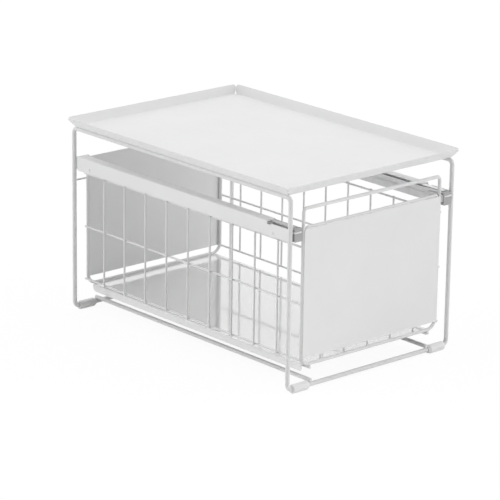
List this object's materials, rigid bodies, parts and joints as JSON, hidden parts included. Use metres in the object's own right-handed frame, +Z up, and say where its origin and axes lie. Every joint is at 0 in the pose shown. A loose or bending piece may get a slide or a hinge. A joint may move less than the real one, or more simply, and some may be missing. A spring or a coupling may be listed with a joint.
{
  "type": "under-sink organizer with pull-out basket",
  "caption": "White coated wire frame on foot sleeves with a shallow folded tray on top and a pull-out wire basket drawer hung on ball-bearing slides.",
  "frame": {"origin": "on the floor plane under the foot sleeves, at the middle of the footprint", "axes": "+Z up, the drawer opens towards -Y, +X is right when facing the back from the drawer's front"},
  "size_m": [0.28, 0.4108, 0.2519],
  "materials": {
    "white_rod": "white powder coat, satin",
    "white_wire": "white powder coat, satin",
    "white_sheet": "white powder coat, fine texture",
    "gloss_sheet": "white coating, mirror gloss",
    "foot_plastic": "white moulded plastic, matt",
    "zinc": "bright zinc plating",
    "stop_plastic": "grey moulded plastic, matt",
    "ball_steel": "polished bearing steel"
  },
  "bodies": {
    "frame": {"side_frame_left": "white_rod", "base_rod_left": "white_rod", "rail_left": "white_sheet", "slide_outer_left": "zinc", "rail_rivets_left": "white_sheet", "foot_front_left": "foot_plastic", "foot_rear_left": "foot_plastic", "side_frame_right": "white_rod", "base_rod_right": "white_rod", "rail_right": "white_sheet", "slide_outer_right": "zinc", "rail_rivets_right": "white_sheet", "foot_front_right": "foot_plastic", "foot_rear_right": "foot_plastic", "floor_bar_front": "white_rod", "floor_bar_rear": "white_rod", "rear_cross_bar": "white_rod", "tray_top": "white_sheet"},
    "cage_left": {"ball_cage_left": "zinc", "slide_balls_left": "ball_steel"},
    "cage_right": {"ball_cage_right": "zinc", "slide_balls_right": "ball_steel"},
    "drawer": {"front_loop": "white_rod", "rear_loop": "white_rod", "front_panel": "white_sheet", "rear_panel": "white_sheet", "front_lip_rod": "white_rod", "floor_plate": "gloss_sheet", "floor_wires": "white_wire", "slide_inner_left": "zinc", "slide_end_left": "stop_plastic", "floor_rod_left": "white_rod", "side_wire_top_left": "white_wire", "side_wire_mid_left": "white_wire", "side_wire_low_left": "white_wire", "upright_wires_left": "white_wire", "hanger_front_left": "white_sheet", "hanger_rear_left": "white_sheet", "hanger_screws_left": "zinc", "slide_inner_right": "zinc", "slide_end_right": "stop_plastic", "floor_rod_right": "white_rod", "side_wire_top_right": "white_wire", "side_wire_mid_right": "white_wire", "side_wire_low_right": "white_wire", "upright_wires_right": "white_wire", "hanger_front_right": "white_sheet", "hanger_rear_right": "white_sheet", "hanger_screws_right": "zinc"}
  },
  "joints": [
    {"name": "drawer_slide", "type": "slide", "parent": "frame", "child": "drawer", "axis": [0, -1, 0], "range_m": [0, 0.28]},
    {"name": "cage_left_slide", "type": "slide", "parent": "frame", "child": "cage_left", "axis": [0, -1, 0], "range_m": [0, 0.14]},
    {"name": "cage_right_slide", "type": "slide", "parent": "frame", "child": "cage_right", "axis": [0, -1, 0], "range_m": [0, 0.14]}
  ],
  "couplings": [
    {"joint": "cage_left_slide", "follows": "drawer_slide", "ratio": 0.5},
    {"joint": "cage_right_slide", "follows": "drawer_slide", "ratio": 0.5}
  ]
}
